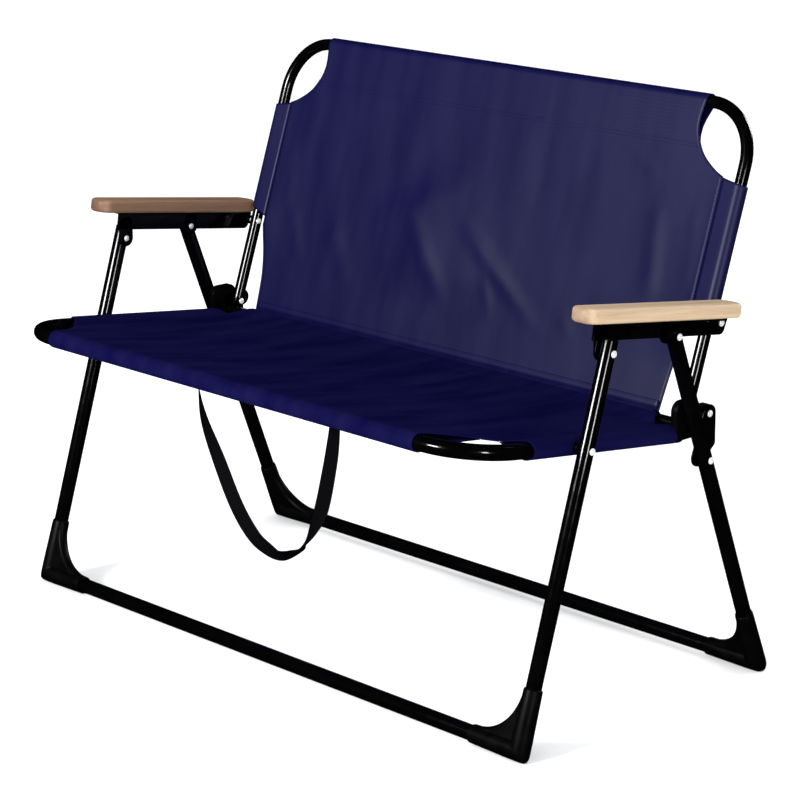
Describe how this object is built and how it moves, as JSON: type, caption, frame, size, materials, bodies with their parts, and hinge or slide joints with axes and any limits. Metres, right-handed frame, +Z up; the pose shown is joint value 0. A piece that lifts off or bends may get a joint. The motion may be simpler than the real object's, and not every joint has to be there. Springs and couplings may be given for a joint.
{
  "type": "folding camping loveseat",
  "caption": "Folding two-person camp chair with a black tube frame, light wooden arms, a navy canvas seat and back sling and a carry strap under the seat.",
  "frame": {"origin": "floor level under the middle of the chair's outer box", "axes": "+Z up, the sitter looks towards -Y, +X is the sitter's left"},
  "size_m": [1.064, 0.5914, 0.8155],
  "materials": {
    "black_paint": "gloss",
    "black_plastic": "satin",
    "bright_zinc": "bright zinc",
    "light_wood": "clear satin varnish",
    "navy_canvas": "plain weave",
    "dark_webbing": "ribbed webbing"
  },
  "bodies": {
    "rear_legs": {"rear_leg_left": "black_paint", "rear_leg_right": "black_paint", "rear_foot_left": "black_plastic", "rear_foot_right": "black_plastic", "rear_leg_cap_left": "black_plastic", "rear_leg_cap_right": "black_plastic", "link_low_rivet_left": "bright_zinc", "link_low_rivet_right": "bright_zinc", "rear_floor_bar": "black_paint"},
    "armrests": {"arm_bracket_left": "black_paint", "arm_bracket_right": "black_paint", "arm_wood_left": "light_wood", "arm_wood_right": "light_wood", "arm_screw_front_left": "bright_zinc", "arm_screw_front_right": "bright_zinc", "arm_screw_rear_left": "bright_zinc", "arm_screw_rear_right": "bright_zinc", "front_arm_rivet_left": "bright_zinc", "front_arm_rivet_right": "bright_zinc", "rear_arm_rivet_left": "bright_zinc", "rear_arm_rivet_right": "bright_zinc", "back_arm_rivet_left": "bright_zinc", "back_arm_rivet_right": "bright_zinc", "back_arm_spacer_left": "black_plastic", "back_arm_spacer_right": "black_plastic"},
    "front_legs": {"front_leg_left": "black_paint", "front_leg_right": "black_paint", "front_foot_left": "black_plastic", "front_foot_right": "black_plastic", "front_leg_cap_left": "black_plastic", "front_leg_cap_right": "black_plastic", "front_floor_bar": "black_paint"},
    "backrest": {"back_side_left": "black_paint", "back_side_right": "black_paint", "back_bow": "black_paint", "back_sling": "navy_canvas"},
    "seat": {"seat_side_left": "black_paint", "seat_side_right": "black_paint", "seat_hinge_block_left": "black_plastic", "seat_hinge_block_right": "black_plastic", "seat_front_rivet_left": "bright_zinc", "seat_front_rivet_right": "bright_zinc", "seat_rear_rivet_left": "bright_zinc", "seat_rear_rivet_right": "bright_zinc", "seat_front_spacer_left": "black_plastic", "seat_front_spacer_right": "black_plastic", "seat_bow": "black_paint", "seat_rear_bar": "black_paint", "seat_sling": "navy_canvas"},
    "side_links": {"side_link_left": "black_paint", "side_link_right": "black_paint", "link_top_rivet_left": "bright_zinc", "link_top_rivet_right": "bright_zinc"},
    "carry_strap": {"carry_strap": "dark_webbing"}
  },
  "joints": [
    {"name": "armrest_fold", "type": "hinge", "parent": "rear_legs", "child": "armrests", "pos_m": [0, 0.07203, 0.528], "axis": [-1, 0, 0], "range_deg": [0, 57.29]},
    {"name": "front_leg_fold", "type": "hinge", "parent": "armrests", "child": "front_legs", "pos_m": [0, -0.05797, 0.528], "axis": [1, 0, 0], "range_deg": [0, 92.03]},
    {"name": "backrest_fold", "type": "hinge", "parent": "armrests", "child": "backrest", "pos_m": [0, 0.18453, 0.524], "axis": [1, 0, 0], "range_deg": [0, 92.03]},
    {"name": "seat_fold", "type": "hinge", "parent": "backrest", "child": "seat", "pos_m": [0, 0.14503, 0.399], "axis": [-1, 0, 0], "range_deg": [0, 92.03]},
    {"name": "side_link_turn", "type": "hinge", "parent": "rear_legs", "child": "side_links", "pos_m": [0, 0.14188, 0.34059], "axis": [-1, 0, 0], "range_deg": [0, 123.42]},
    {"name": "strap_swing", "type": "hinge", "parent": "seat", "child": "carry_strap", "pos_m": [0, -0.21554, 0.41768], "axis": [1, 0, 0], "range_deg": [-40, 40]}
  ],
  "couplings": [
    {"joint": "front_leg_fold", "follows": "armrest_fold", "ratio": 1.606},
    {"joint": "backrest_fold", "follows": "armrest_fold", "ratio": 1.606},
    {"joint": "seat_fold", "follows": "armrest_fold", "ratio": 1.606},
    {"joint": "side_link_turn", "follows": "armrest_fold", "ratio": 2.154}
  ]
}
